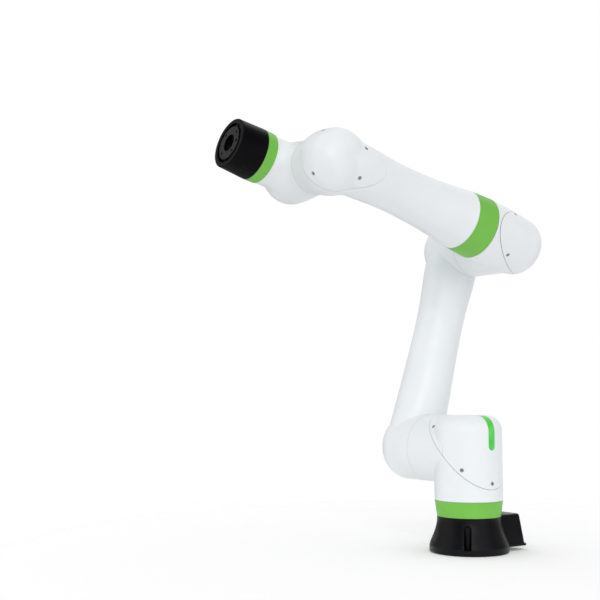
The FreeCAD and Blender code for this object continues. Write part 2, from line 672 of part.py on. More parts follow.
def box_side(reach, half_width, height):
    """A level outline of the connector box."""
    corners = [Vector(-FOOT_RADIUS / 2, -half_width, height), Vector(-reach, -half_width, height),
               Vector(-reach, half_width, height), Vector(-FOOT_RADIUS / 2, half_width, height)]
    return Part.makePolygon(corners + corners[:1])


def box_solid(inset=0.0):
    """The tapered connector box, filled, with all its sides and its top inset."""
    low = box_side(BOX_REACH + BOX_TAPER - inset, BOX_WIDTH / 2 + BOX_TAPER - inset, BOX_FOOT + inset)
    high = box_side(BOX_REACH - BOX_TAPER - inset, BOX_WIDTH / 2 - BOX_TAPER - inset, BOX_TOP - inset)
    return Part.makeLoft([low, high], True)


def panel_block(start, thickness, width, height):
    """A block centred on the connector panel, in the panel's frame."""
    return Part.makeBox(thickness, width, height, Vector(start, -width / 2, -height / 2))


def make_connector_housing():
    box = box_solid()
    outside = [e for e in box.Edges if e.BoundBox.XMax < -BOX_REACH + 2 * BOX_TAPER]
    rounded = [e for e in outside if e.BoundBox.ZMax > BOX_FOOT + 1]
    uprights = [e for e in rounded if e.BoundBox.ZLength > BOX_FOOT]
    box = box.makeFillet(BOX_CORNER, uprights)
    top = [e for e in box.Edges if e.BoundBox.ZMin > BOX_TOP - 1 and e.BoundBox.XMin < -FOOT_RADIUS / 2 - 1]
    box = box.makeFillet(BOX_TOP_ROUND, top)
    hem_reach = BOX_REACH + BOX_TAPER + BOX_HEM
    hem_width = BOX_WIDTH + 2 * (BOX_TAPER + BOX_HEM)
    hem_corner = Vector(-hem_reach, -hem_width / 2, BOX_FOOT)
    hem = Part.makeBox(hem_reach - FOOT_RADIUS / 2, hem_width, BOX_HEM * 2, hem_corner)
    corners = [e for e in hem.Edges if e.BoundBox.ZLength > 1 and e.BoundBox.XMax < -FOOT_RADIUS]
    hem = hem.makeFillet(BOX_CORNER, corners)
    ring_room = rod(RING_BASE_RADII[1] + 0.5, RING_BASE[0] - 1, RING_BASE[1], Z)
    base = placed(base_profile(0.1), BASE_FRAME).fuse(ring_room)
    box = box.fuse(hem).cut(box_solid(BOX_WALL)).cut(base)
    recess = panel_block(-PANEL_THICKNESS, BOX_WALL, PANEL_WIDTH, PANEL_HEIGHT)
    ledges = 2 * PANEL_LEDGE
    window = panel_block(-2 * BOX_WALL, 4 * BOX_WALL, PANEL_WIDTH - ledges, PANEL_HEIGHT - ledges)
    box = box.cut(placed(recess, PANEL_FRAME)).cut(placed(window, PANEL_FRAME))
    return max(box.Solids, key=lambda s: s.Volume)


def make_connector_panel():
    panel = panel_block(-PANEL_THICKNESS, PANEL_THICKNESS, PANEL_WIDTH - 2 * FIT, PANEL_HEIGHT - 2 * FIT)
    for place, radius, _ in SOCKETS:
        panel = panel.cut(rod(radius + FIT, -PANEL_THICKNESS - 1, 1, X, place))
    return panel


def make_connector_sockets():
    """Round panel sockets, each with a collar, a bore and its contact pins."""
    sockets = []
    for place, radius, pins in SOCKETS:
        body = rod(radius, -PANEL_THICKNESS - 8, SOCKET_STAND, X, place)
        body = body.fuse(rod(radius + 1.5, 0, 1.5, X, place))
        body = body.cut(rod(radius - 2.0, -PANEL_THICKNESS - 4, SOCKET_STAND + 1, X, place))
        for point in ring_points(pins, radius * 0.45):
            body = body.fuse(rod(0.7, -PANEL_THICKNESS - 5, -1.0, X, place + point))
        sockets.append(body)
    return group(sockets)


# ---------------------------------------------------------------- status light
def light_slot(half_width):
    """The light's outline, carried through the turret's crown. Local a is down, and b is away from it."""
    side = -TURRET_RADIUS - 1
    end = SHOULDER_HEIGHT - LIGHT_BOTTOM - half_width
    crown = -TURRET_RADIUS - 1
    corner = Vector(crown, side, -half_width)
    run = Part.makeBox(end - crown, TURRET_RADIUS - LIGHT_TOP + 1, 2 * half_width, corner)
    lower = rod(half_width, side, -LIGHT_TOP, Y, X * end)
    upper = rod(half_width, crown, -SHOULDER_RADIUS / 2, X, Y * -LIGHT_TOP)
    return run.fuse(lower).fuse(upper)


def light_band(half_width):
    skin = turret_solid(0.0, 0.0).cut(turret_solid(LIGHT_DEPTH, 1.0))
    return skin.common(light_slot(half_width))


# ---------------------------------------------------------------- tool end
def make_tool_housing():
    start = RING_WRIST[1] + JOINT_GAP
    shell = cone(TOOL_RADIUS, TOOL_FACE_RADIUS, start, TOOL_LENGTH)
    shell = shell.makeFillet(1.5, edges_at(shell, TOOL_LENGTH))
    shell = shell.makeFillet(0.8, edges_at(shell, start))
    cavity = rod(TOOL_FACE_RADIUS - CAP_WALL, start - 1, FLANGE_LEDGE - LEDGE_THICKNESS)
    shell = shell.cut(cavity).cut(rod(FACE_RIM_RADIUS, FLANGE_LEDGE, TOOL_LENGTH + 1))
    shell = shell.cut(rod(FLANGE_RADIUS + 1.5, start, TOOL_LENGTH))
    shell = shell.fuse(unplaced(DRIVES["j6"].driven_web(TOOL_FACE_RADIUS - CAP_WALL + 1), WRIST_FRAME))
    for point in flange_screw_points():
        bottom = FLANGE_LEDGE - LEDGE_THICKNESS - 1
        shell = shell.cut(rod(FLANGE_SCREW_SHANK + THREAD_FIT, bottom, FLANGE_LEDGE + 1, X, point))
    return shell


def flange_screw_points():
    return ring_points(6, (FLANGE_RADIUS + FACE_RIM_RADIUS) / 2, 30.0)


def make_tool_flange():
    seat = FLANGE_LEDGE + FLANGE_SHOULDER
    flange = rod(FLANGE_RADIUS + 1.0, FLANGE_TAIL, FLANGE_LEDGE)
    flange = flange.fuse(rod(FACE_RIM_RADIUS - FIT, FLANGE_LEDGE, seat))
    face = rod(FLANGE_RADIUS, seat, TOOL_LENGTH)
    flange = flange.fuse(face.makeChamfer(0.6, edges_at(face, TOOL_LENGTH)))
    flange = flange.cut(rod(PILOT_RADIUS, TOOL_LENGTH - PILOT_DEPTH, TOOL_LENGTH + 1))
    flange = flange.cut(rod(SHAFT_BORE, FLANGE_TAIL - 1, TOOL_LENGTH))
    for point in ring_points(4, FLANGE_CIRCLE / 2, 45.0):
        flange = flange.cut(rod(TAP_RADIUS, TOOL_LENGTH - TAP_DEPTH, TOOL_LENGTH + 1, X, point))
    dowel = ring_points(1, FLANGE_CIRCLE / 2)[0]
    flange = flange.cut(rod(DOWEL_RADIUS, TOOL_LENGTH - TAP_DEPTH / 2, TOOL_LENGTH + 1, X, dowel))
    for point in flange_screw_points():
        flange = flange.cut(rod(FLANGE_SCREW_SHANK + 0.2, FLANGE_LEDGE - 1, seat + 1, X, point))
        flange = flange.cut(rod(FLANGE_SCREW_HEAD + 0.2, seat - 1.0, seat + 3, X, point))
    return flange


def make_flange_screws():
    one = screw(FLANGE_SCREW_HEAD, 2.4, FLANGE_SCREW_SHANK, FLANGE_SHOULDER + LEDGE_THICKNESS - 1.5)
    seat = X * (FLANGE_LEDGE + FLANGE_SHOULDER - 1.0)
    return group([placed(one, frame(point + seat, X, Y)) for point in flange_screw_points()])


# ---------------------------------------------------------------- internal cable looms
def bend(point, heading, radius, degrees):
    """An arc in the local (a, b) plane from a point, turning left for positive degrees."""
    side = math.copysign(1.0, degrees)
    left = Vector(-heading.y, heading.x, 0) * side
    centre = point + left * radius
    marks = []
    for part_way in (0.5, 1.0):
        t = math.radians(abs(degrees)) * part_way
        marks.append(centre - left * (radius * math.cos(t)) + heading * (radius * math.sin(t)))
    t = math.radians(degrees)
    turned_heading = heading * math.cos(t) + Vector(-heading.y, heading.x, 0) * math.sin(t)
    return Part.Arc(point, *marks).toShape(), marks[1], turned_heading


def loom(point, heading, steps):
    """Round cable bundle: each step is a straight length, or a (radius, degrees) bend."""
    section = Part.Wire(Part.makeCircle(LOOM_RADIUS, point, heading))
    edges = []
    for step in steps:
        if isinstance(step, tuple):
            edge, point, heading = bend(point, heading, *step)
        else:
            edge = Part.makeLine(point, point + heading * step)
            point = point + heading * step
        edges.append(edge)
    return Part.Wire(edges).makePipeShell([section], True, True)


def make_arm_loom():
    drop = ARM_FACE - HUB_STAND - LOOM_BEND
    run = LOWER_ARM_LENGTH - 2 * LOOM_BEND
    steps = [drop, (LOOM_BEND, 90), run, (LOOM_BEND, 90), drop]
    return loom(Y * (drop + LOOM_BEND), Y * -1, steps)


def make_forearm_loom():
    start = FOREARM_LENGTH - RING_ELBOW[1] - HUB_STAND
    shift = 2 * LOOM_SWING * math.sin(math.radians(45))
    dip = 2 * LOOM_SWING * (1 - math.cos(math.radians(45)))
    last = 40.0
    first = start - shift - last - dip
    steps = [first, (LOOM_SWING, 45), (LOOM_SWING, -45), last, (dip, -90)]
    return loom(X * start, X * -1, steps)


# ---------------------------------------------------------------- writing the parts
def write_shells():
    turret = make_turret()
    turret.caps = [cap.cut(light_band(LIGHT_WIDTH / 2)) for cap in turret.caps]
    turret.write("turret", ["turret_cap"])
    export("status_light", placed(light_band(LIGHT_WIDTH / 2 - FIT), TURRET_FRAME))
    make_arm().write("lower_arm", ["lower_arm_shoulder_cap", "lower_arm_elbow_cap"])
    make_elbow().write("elbow", ["elbow_cap"])
    make_forearm().write("forearm", ["forearm_cap"])
    make_wrist().write("wrist", ["wrist_cap"])


def write_drives():
    for name, drive in DRIVES.items():
        export(f"{name}_reducer", drive.reducer())
        export(f"{name}_motor", drive.motor())
        export(f"{name}_drive_board", drive.board())
        export(f"{name}_output_hub", drive.hub())
        if name not in LOWER_ARM_DRIVES:
            export(f"{name}_hub_screws", drive.screws())
    export("lower_arm_hub_screws", group([DRIVES[name].screws() for name in LOWER_ARM_DRIVES]))


def write_rings():
    export("base_ring", placed(ring(RING_BASE, RING_BASE_RADII, LARGE_NECK), BASE_FRAME))
    export("elbow_ring", placed(ring(RING_ELBOW, RING_ELBOW_RADII, LARGE_NECK), ELBOW_FRAME))
    export("wrist_ring", placed(ring(RING_WRIST, RING_WRIST_RADII, SMALL_NECK), WRIST_FRAME))


def write_ends():
    export("base_casting", placed(make_base(), BASE_FRAME))
    export("base_bottom_cover", placed(make_bottom_cover(), BASE_FRAME))
    export("base_cover_screws", placed(make_cover_screws(), BASE_FRAME))
    export("connector_housing", make_connector_housing())
    export("connector_panel", placed(make_connector_panel(), PANEL_FRAME))
    export("connector_sockets", placed(make_connector_sockets(), PANEL_FRAME))
    export("tool_housing", placed(make_tool_housing(), WRIST_FRAME))
    export("tool_flange", placed(make_tool_flange(), WRIST_FRAME))
    export("tool_flange_screws", placed(make_flange_screws(), WRIST_FRAME))
    export("lower_arm_loom", placed(make_arm_loom(), ARM_FRAME))
    export("forearm_loom", placed(make_forearm_loom(), FOREARM_FRAME))


if __name__ == "__main__":
    os.makedirs("parts", exist_ok=True)
    write_shells()
    write_drives()
    write_rings()
    write_ends()
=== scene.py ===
import json
import math

import bmesh
import bpy
from mathutils import Matrix, Vector

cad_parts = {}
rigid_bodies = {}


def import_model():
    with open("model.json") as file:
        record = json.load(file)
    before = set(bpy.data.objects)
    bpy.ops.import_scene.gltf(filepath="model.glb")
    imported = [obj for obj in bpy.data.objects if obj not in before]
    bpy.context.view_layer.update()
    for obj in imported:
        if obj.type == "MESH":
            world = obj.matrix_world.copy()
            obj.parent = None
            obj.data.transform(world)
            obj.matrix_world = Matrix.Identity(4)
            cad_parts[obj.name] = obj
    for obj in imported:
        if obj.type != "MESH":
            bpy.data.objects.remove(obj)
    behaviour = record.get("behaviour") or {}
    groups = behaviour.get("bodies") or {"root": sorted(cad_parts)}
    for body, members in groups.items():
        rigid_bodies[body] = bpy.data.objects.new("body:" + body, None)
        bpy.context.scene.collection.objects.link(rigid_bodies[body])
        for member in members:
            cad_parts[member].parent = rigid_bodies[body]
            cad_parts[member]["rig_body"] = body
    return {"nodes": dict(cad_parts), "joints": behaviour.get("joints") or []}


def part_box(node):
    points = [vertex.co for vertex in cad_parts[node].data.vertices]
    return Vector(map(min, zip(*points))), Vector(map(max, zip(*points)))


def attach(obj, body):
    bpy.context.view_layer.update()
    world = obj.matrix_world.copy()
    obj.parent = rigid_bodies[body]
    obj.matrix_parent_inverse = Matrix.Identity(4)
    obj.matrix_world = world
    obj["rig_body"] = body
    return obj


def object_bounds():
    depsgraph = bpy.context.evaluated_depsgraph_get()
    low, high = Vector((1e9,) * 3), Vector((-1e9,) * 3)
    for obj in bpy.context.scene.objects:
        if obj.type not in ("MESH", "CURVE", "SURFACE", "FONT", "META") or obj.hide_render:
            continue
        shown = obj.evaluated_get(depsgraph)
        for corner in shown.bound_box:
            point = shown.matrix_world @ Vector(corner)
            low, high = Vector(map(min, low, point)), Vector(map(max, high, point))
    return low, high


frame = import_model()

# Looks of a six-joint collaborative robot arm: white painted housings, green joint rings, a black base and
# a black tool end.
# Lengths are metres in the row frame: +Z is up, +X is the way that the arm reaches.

cad_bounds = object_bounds()

# ---------------------------------------------------------------- camera and studio, as fitted to the view
VIEW_AZIMUTH = math.radians(42.77)   # the camera's place round the base, from +Y towards +X
VIEW_DISTANCE = 2.068                # from the base's axis, on the floor
VIEW_HEIGHT = 0.2937
VIEW_YAW = math.radians(8.66)        # how far the camera turns away from the base's axis
VIEW_PITCH = math.radians(4.75)      # upwards
LENS = 65.71                         # mm, for a sensor of SENSOR mm
SENSOR = 36.0

KEY_AZIMUTH = VIEW_AZIMUTH - math.radians(4)
KEY_ELEVATION = math.radians(24)
KEY_STRENGTH = 0.72
KEY_SIZE = math.radians(35)
RIM_AZIMUTH = KEY_AZIMUTH + math.pi * 0.8
RIM_STRENGTH = 0.12
SKY_TOP = 0.86                       # ambient light from straight above
SKY_BOTTOM = 0.72                    # and from straight below
PANEL_COUNT = 3                      # soft light panels that shiny surfaces mirror
PANEL_BRIGHT = 0.95
PANEL_DARK = 0.28
PANEL_EDGE = (-0.1, 0.7)             # heights on the panels' wave where one starts, and where it is full
FLOOR_RADIUS = 1.1
FLOOR_CORE = 0.25                    # the floor is whole this far out, and fades away from there
FLOOR_DROP = 0.0002                  # below the sole, so that the two faces don't flicker
FLOOR_SEGMENTS = 96

# ---------------------------------------------------------------- colours, linear
WHITE_PAINT = ((0.815, 0.850, 0.875), (0.850, 0.880, 0.900))
# dust and painted shade that the white paint takes on in narrow gaps, seams and screw recesses
WHITE_DUST_AND_SHADE = (0.60, 0.62, 0.64)
BLACK_PAINT = ((0.0022, 0.0022, 0.0030), (0.0040, 0.0040, 0.0052))
BLACK_WEAR = (0.022, 0.022, 0.025)
TOOL_BLACK = ((0.0012, 0.0012, 0.0018), (0.0024, 0.0024, 0.0032))
TOOL_WEAR = (0.012, 0.012, 0.014)
GREEN_PLASTIC = ((0.163, 0.498, 0.058), (0.188, 0.538, 0.072))
# painted shade that darkens the green rings beside the joints' gaps
GREEN_PAINTED_SHADE = (0.05, 0.16, 0.03)
LIGHT_LENS = ((0.058, 0.46, 0.055), (0.090, 0.55, 0.085))
SCREW_STEEL = ((0.30, 0.305, 0.315), (0.42, 0.425, 0.435))
ANODISED = ((0.005, 0.005, 0.006), (0.012, 0.012, 0.014))
SEAL_GREY = ((0.62, 0.65, 0.67), (0.68, 0.71, 0.73))
STEEL = ((0.46, 0.47, 0.48), (0.60, 0.61, 0.63))
IRON = ((0.10, 0.105, 0.11), (0.16, 0.165, 0.175))
SOLDER_MASK = (0.012, 0.115, 0.045)
COPPER_UNDER_MASK = (0.035, 0.210, 0.085)
EPOXY = (0.012, 0.012, 0.013)
RUBBER = ((0.008, 0.008, 0.009), (0.016, 0.016, 0.018))
GASKET_GREY = ((0.040, 0.042, 0.045), (0.060, 0.062, 0.066))
NYLON = ((0.014, 0.014, 0.016), (0.026, 0.026, 0.029))
FLOOR = (0.93, 0.93, 0.93)
FLOOR_GLOW = 0.12


# ---------------------------------------------------------------- procedural finishes
NOISE_SPREAD = (0.3, 0.7)            # where nearly all of a noise pattern's values lie
TONE_SPREAD = (0.35, 0.65)           # a little narrower, so that both tones show whole
CREVICE_SPREAD = (0.35, 0.85)        # openness from inside a gap to out in the open
EDGE_SPREAD = (0.55, 0.95)           # the same, measured inside the metal, from an edge to a flat
AO_SAMPLES = 6
LATHE_PITCH = 0.0007
LATHE_DEPTH = 0.000006
BOARD_PATTERN = 120.0                # units of the copper pattern to the metre
RUN_WIDTH = 0.035                    # of a copper run, in those units
BRAID_PATTERN = 160.0                # units of the weave to the metre
MIX_SOCKETS = (6, 7)                 # a mix node's colour inputs, whose names its other inputs share
MIX_RESULT = 2                       # and its colour output


class Finish:
    """A procedural material. All its patterns are measured in metres on the piece itself."""

    def __init__(self, name, metallic=0.0):
        self.material = bpy.data.materials.new(name)
        self.material.use_nodes = True
        self.tree = self.material.node_tree
        self.shader = self.tree.nodes["Principled BSDF"]
        self.shader.inputs["Metallic"].default_value = metallic
        self.place = self.add("ShaderNodeTexCoord").outputs["Object"]

    def add(self, kind, **settings):
        node = self.tree.nodes.new(kind)
        for key, value in settings.items():
            setattr(node, key, value)
        return node

    def feed(self, socket, value):
        """A link where value is another node's output, and a plain setting elsewhere."""
        if isinstance(value, bpy.types.NodeSocket):
            self.tree.links.new(value, socket)
        elif hasattr(value, "__len__") and socket.type == "RGBA":
            socket.default_value = (*value, 1.0)
        else:
            socket.default_value = value

    def set(self, socket, value):
        self.feed(self.shader.inputs[socket], value)

    def stretched(self, factors):
        """The place on the piece, with each axis scaled by a factor."""
        mapping = self.add("ShaderNodeMapping")
        self.feed(mapping.inputs["Vector"], self.place)
        mapping.inputs["Scale"].default_value = factors
        return mapping.outputs["Vector"]

    def noise(self, size, detail=2.0, place=None):
        """Cloudy pattern from 0 to 1, whose lumps are about size across."""
        node = self.add("ShaderNodeTexNoise")
        self.feed(node.inputs["Vector"], place or self.place)
        node.inputs["Scale"].default_value = 1.0 / size
        node.inputs["Detail"].default_value = detail
        return node.outputs["Fac"]

    def cells(self, size):
        """Distance to the nearest of many scattered points, for speckle."""
        node = self.add("ShaderNodeTexVoronoi")
        self.feed(node.inputs["Vector"], self.place)
        node.inputs["Scale"].default_value = 1.0 / size
        return node.outputs["Distance"]

    def span(self, value, start, end, low, high):
        """value, carried from the range start to end onto the range low to high."""
        node = self.add("ShaderNodeMapRange")
        for index, number in enumerate((value, start, end, low, high)):
            self.feed(node.inputs[index], number)
        return node.outputs["Result"]

    def calc(self, first, second, operation="ADD"):
        """Arithmetic on two values. A sine takes only the first."""
        node = self.add("ShaderNodeMath", operation=operation)
        self.feed(node.inputs[0], first)
        self.feed(node.inputs[1], second)
        return node.outputs[0]

    def mix(self, amount, first, second):
        node = self.add("ShaderNodeMix", data_type="RGBA")
        self.feed(node.inputs["Factor"], amount)
        for socket, colour in zip(MIX_SOCKETS, (first, second)):
            self.feed(node.inputs[socket], colour)
        return node.outputs[MIX_RESULT]

    def two_tone(self, colours, size):
        """Drifts between two close colours over about size."""
        return self.mix(self.span(self.noise(size, 3.0), *TONE_SPREAD, 0.0, 1.0), *colours)

    def vary_roughness(self, size, low, high, detail=4.0):
        """Roughness that drifts between two values over about size."""
        self.set("Roughness", self.span(self.noise(size, detail), *NOISE_SPREAD, low, high))

    def crevice(self, reach):
        """1 in narrow gaps and inside corners, 0 in the open."""
        node = self.add("ShaderNodeAmbientOcclusion", samples=AO_SAMPLES)
        node.inputs["Distance"].default_value = reach
        return self.span(node.outputs["AO"], *CREVICE_SPREAD, 1.0, 0.0)

    def edge(self, reach):
        """1 on sharp outside edges, 0 elsewhere."""
        node = self.add("ShaderNodeAmbientOcclusion", samples=AO_SAMPLES, inside=True)
        node.inputs["Distance"].default_value = reach
        return self.span(node.outputs["AO"], *EDGE_SPREAD, 1.0, 0.0)

    def bump(self, height, depth):
        """Relief of a pattern, depth metres from its 0 to its 1."""
        node = self.add("ShaderNodeBump")
        node.inputs["Strength"].default_value = 1.0
        node.inputs["Distance"].default_value = depth
        self.feed(node.inputs["Height"], height)
        self.set("Normal", node.outputs["Normal"])

    def radius_from(self, point, axis):
        """Distance from the line through point along axis, in metres."""
        return self.length_of(self.vector("CROSS_PRODUCT", self.offset_from(point), axis))

    def along(self, point, axis):
        """Distance from point along axis, in metres."""
        node = self.add("ShaderNodeVectorMath", operation="DOT_PRODUCT")
        self.feed(node.inputs[0], self.offset_from(point))
        node.inputs[1].default_value = axis
        return node.outputs["Value"]

    def offset_from(self, point):
        return self.vector("SUBTRACT", self.place, point)

    def vector(self, operation, first, second):
        node = self.add("ShaderNodeVectorMath", operation=operation)
        self.feed(node.inputs[0], first)
        node.inputs[1].default_value = second
        return node.outputs["Vector"]

    def length_of(self, value):
        node = self.add("ShaderNodeVectorMath", operation="LENGTH")
        self.feed(node.inputs[0], value)
        return node.outputs["Value"]

    def waves(self, distance, pitch):
        """Even ripple from 0 to 1 with a pitch, along a measured distance."""
        turns = self.calc(distance, math.tau / pitch, "MULTIPLY")
        return self.span(self.calc(turns, 0.0, "SINE"), -1.0, 1.0, 0.0, 1.0)


def painted(name, colours, dust_and_shade, dust_and_shade_reach, roughness, grain, grain_depth):
    """Sprayed paint on a casting: a fine orange peel, slow drifts of tone, dust and painted shade in the
    gaps.
    """
    finish = Finish(name)
    colour = finish.two_tone(colours, 0.09)
    # painted shade and dust: gaps and inside corners found by the crevice mask take the darker colour, as if
    # shade fell there
    finish.set("Base Color", finish.mix(finish.crevice(dust_and_shade_reach), colour, dust_and_shade))
    finish.vary_roughness(0.03, roughness - 0.06, roughness + 0.06)
    finish.bump(finish.noise(grain), grain_depth)
    return finish


def white_paint():
    """Satin white under a thin clear coat."""
    finish = painted("white_paint", WHITE_PAINT, WHITE_DUST_AND_SHADE,
                     dust_and_shade_reach=0.0012, roughness=0.40, grain=0.0011, grain_depth=0.000010)
    finish.set("Coat Weight", 0.12)
    finish.set("Coat Roughness", 0.28)
    return finish.material


def black_paint(name, colours, wear, gloss):
    """Black paint, rubbed paler along its edges."""
    finish = Finish(name)
    colour = finish.two_tone(colours, 0.05)
    patches = finish.span(finish.noise(0.012, 4.0), 0.4, 0.7, 0.2, 0.9)
    worn = finish.calc(finish.edge(0.0016), patches, "MULTIPLY")
    finish.set("Base Color", finish.mix(worn, colour, wear))
    finish.vary_roughness(0.02, 0.26, 0.38)
    finish.set("Specular IOR Level", gloss)
    finish.bump(finish.noise(0.0009, 3.0), 0.000016)
    return finish.material


def green_plastic():
    """Through-coloured rings, with painted shade darkening them beside the joints' gaps."""
    finish = painted("green_plastic", GREEN_PLASTIC, GREEN_PAINTED_SHADE,
                     dust_and_shade_reach=0.0035, roughness=0.44, grain=0.0006, grain_depth=0.000008)
    finish.set("Specular IOR Level", 0.40)
    return finish.material


def light_lens():
    """A milky lens, lit from behind by a row of lamps."""
    finish = Finish("light_lens")
    finish.set("Roughness", 0.30)
    glow = finish.mix(finish.span(finish.noise(0.012, 1.0), *NOISE_SPREAD, 0.0, 1.0), *LIGHT_LENS)
    finish.set("Base Color", glow)
    finish.set("Emission Color", glow)
    finish.set("Emission Strength", 0.28)
    finish.set("Subsurface Weight", 0.2)
    finish.set("Subsurface Scale", 0.002)
    finish.bump(finish.cells(0.0012), 0.000012)
    return finish.material


def screw_steel():
    """Dull stainless screws, rubbed brighter at their rims."""
    finish = Finish("screw_steel", metallic=0.85)
    colour = finish.two_tone(SCREW_STEEL, 0.004)
    finish.set("Base Color", finish.mix(finish.edge(0.0005), colour, STEEL[0]))
    finish.vary_roughness(0.0015, 0.34, 0.52, detail=3.0)
    finish.bump(finish.noise(0.0004), 0.000010)
    return finish.material


def turned_metal(name, colours, roughness, metallic, point, axis):
    """Metal from the lathe: fine rings about its axis, broken up a little."""
    finish = Finish(name, metallic)
    rings = finish.waves(finish.radius_from(point, axis), LATHE_PITCH)
    grooves = finish.waves(finish.along(point, axis), LATHE_PITCH)
    tooling = finish.calc(finish.calc(rings, grooves), 0.5, "MULTIPLY")
    broken = finish.calc(tooling, finish.noise(0.004, 3.0), "MULTIPLY")
    finish.set("Base Color", finish.mix(broken, *colours))
    finish.set("Roughness", finish.span(broken, 0.0, 0.7, roughness - 0.08, roughness + 0.08))
    finish.bump(broken, LATHE_DEPTH)
    return finish.material


def iron_shell(name, point, axis):
    """Dark cast motor body: coarse sand texture under varnish."""
    finish = Finish(name, metallic=0.4)
    finish.set("Base Color", finish.two_tone(IRON, 0.006))
    finish.vary_roughness(0.004, 0.42, 0.62)
    ribs = finish.waves(finish.along(point, axis), 0.0012)
    finish.bump(finish.calc(finish.noise(0.0008, 3.0), ribs), 0.00002)
    return finish.material


def board_face(name, point, axis, top):
    """Circuit board: copper runs show under the solder mask, and what stands above it is black epoxy."""
    finish = Finish(name)
    runs = finish.add("ShaderNodeTexBrick", offset=0.5)
    finish.feed(runs.inputs["Vector"], finish.place)
    runs.inputs["Scale"].default_value = BOARD_PATTERN
    finish.feed(runs.inputs["Color1"], SOLDER_MASK)
    finish.feed(runs.inputs["Color2"], SOLDER_MASK)
    finish.feed(runs.inputs["Mortar"], COPPER_UNDER_MASK)
    runs.inputs["Mortar Size"].default_value = RUN_WIDTH
    chip = finish.calc(finish.along(point, axis), top, "LESS_THAN")
    finish.set("Base Color", finish.mix(chip, runs.outputs["Color"], EPOXY))
    finish.vary_roughness(0.003, 0.28, 0.5, detail=3.0)
    finish.bump(runs.outputs["Fac"], 0.00003)
    return finish.material


def braided_sheath():
    """Cable bundle under a woven sleeve: two sets of slanting threads."""
    finish = Finish("braided_sheath")
    threads = []
    for slant in ((1.0, 1.0, 0.6), (1.0, -1.0, 0.6)):
        weave = finish.add("ShaderNodeTexWave", wave_type="BANDS", bands_direction="DIAGONAL")
        finish.feed(weave.inputs["Vector"], finish.stretched(slant))
        weave.inputs["Scale"].default_value = BRAID_PATTERN
        threads.append(weave.outputs["Fac"])
    woven = finish.calc(*threads, "MAXIMUM")
    finish.set("Base Color", finish.mix(woven, *RUBBER))
    finish.set("Roughness", finish.span(woven, 0.0, 1.0, 0.72, 0.5))
    finish.bump(woven, 0.00012)
    return finish.material


def rubber(name, colours):
    """Matt seal rubber with a little bloom."""
    finish = Finish(name)
    finish.set("Base Color", finish.two_tone(colours, 0.004))
    finish.vary_roughness(0.0015, 0.6, 0.82, detail=3.0)
    finish.bump(finish.noise(0.0003), 0.00001)
    return finish.material


def brushed_sheet():
    """Black anodised sheet, brushed level before it was dyed."""
    finish = Finish("brushed_sheet", metallic=0.6)
    strokes = finish.noise(0.0006, 3.0, finish.stretched((1.0, 0.03, 1.0)))
    finish.set("Base Color", finish.mix(strokes, *ANODISED))
    finish.set("Roughness", finish.span(strokes, *NOISE_SPREAD, 0.32, 0.5))
    finish.bump(strokes, 0.00001)
    return finish.material


def moulded_nylon():
    """Glass-filled nylon: a fine spark-eroded grain with pale flecks."""
    finish = Finish("moulded_nylon")
    flecks = finish.span(finish.cells(0.0012), 0.0, 0.25, 0.6, 0.0)
    finish.set("Base Color", finish.mix(flecks, finish.two_tone(NYLON, 0.01), BLACK_WEAR))
    finish.vary_roughness(0.002, 0.44, 0.6, detail=3.0)
    finish.bump(finish.noise(0.0005), 0.00003)
    return finish.material


def floor_finish():
    """Pale studio paper that fades into the backdrop away from the part."""
    finish = Finish("studio_floor")
    finish.set("Roughness", 0.9)
    finish.set("Base Color", FLOOR)
    finish.set("Emission Color", FLOOR)
    finish.set("Emission Strength", FLOOR_GLOW)
    finish.set("Specular IOR Level", 0.05)
    out = finish.length_of(finish.place)
    finish.set("Alpha", finish.span(out, FLOOR_CORE, FLOOR_RADIUS, 1.0, 0.0))
    return finish.material


# ---------------------------------------------------------------- finishes onto the CAD nodes
CHIP_HEIGHT = 0.002
SAME_PLANE = 0.0001                  # faces closer than this count as one flat face


def repaint(node, material):
    mesh = frame["nodes"][node].data
    mesh.materials.clear()
    mesh.materials.append(material)


def joint_of(node):
    """The point and the direction of the joint that a node's name starts with, from j1 to j6."""
    joint = frame["joints"][int(node[1]) - 1]
    return Vector(joint["pos_m"]), Vector(joint["axis"]).normalized()


def centre_of(node):
    low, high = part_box(node)
    return (low + high) / 2


def board_top(node, point, axis):
    """Where a drive board's face lies along its joint's axis. The chips stand beyond it, towards lower
    numbers."""
    heights = [(vertex.co - point).dot(axis) for vertex in frame["nodes"][node].data.vertices]
    return min(heights) + CHIP_HEIGHT - SAME_PLANE / 2


def drive_material(node):
    """The finish of a drive board, a motor, or a turned part such as a reducer or a hub."""
    point, axis = joint_of(node)
    if node.endswith("drive_board"):
        outward = centre_of(node[:2] + "_motor") - centre_of(node)
        axis = axis if outward.dot(axis) > 0 else -axis
        return board_face(f"{node}_finish", point, axis, board_top(node, point, axis))
    if node.endswith("motor"):
        return iron_shell(f"{node}_finish", point, axis)
    return turned_metal(f"{node}_finish", STEEL, 0.32, 1.0, point, axis)


def dress_nodes():
    """Every CAD node gets the finish of its slot. The drives' metal follows their own axes, and the tool
    housing is a deeper black than the base."""
    tool_point, tool_axis = joint_of("j6")
    by_slot = {
        "white_casting": white_paint(),
        "black_casting": black_paint("black_paint", BLACK_PAINT, BLACK_WEAR, gloss=0.16),
        "green_ring": green_plastic(),
        "status_light": light_lens(),
        "screw_steel": screw_steel(),
        "flange_metal": turned_metal("black_anodised", ANODISED, 0.36, 0.7, tool_point, tool_axis),
        "black_rubber": braided_sheath(),
        "panel_metal": brushed_sheet(),
        "socket_plastic": moulded_nylon(),
    }
    for name, node in frame["nodes"].items():
        slot = node.data.materials[0].name
        repaint(name, by_slot[slot] if slot in by_slot else drive_material(name))
    repaint("tool_housing", black_paint("tool_paint", TOOL_BLACK, TOOL_WEAR, gloss=0.07))


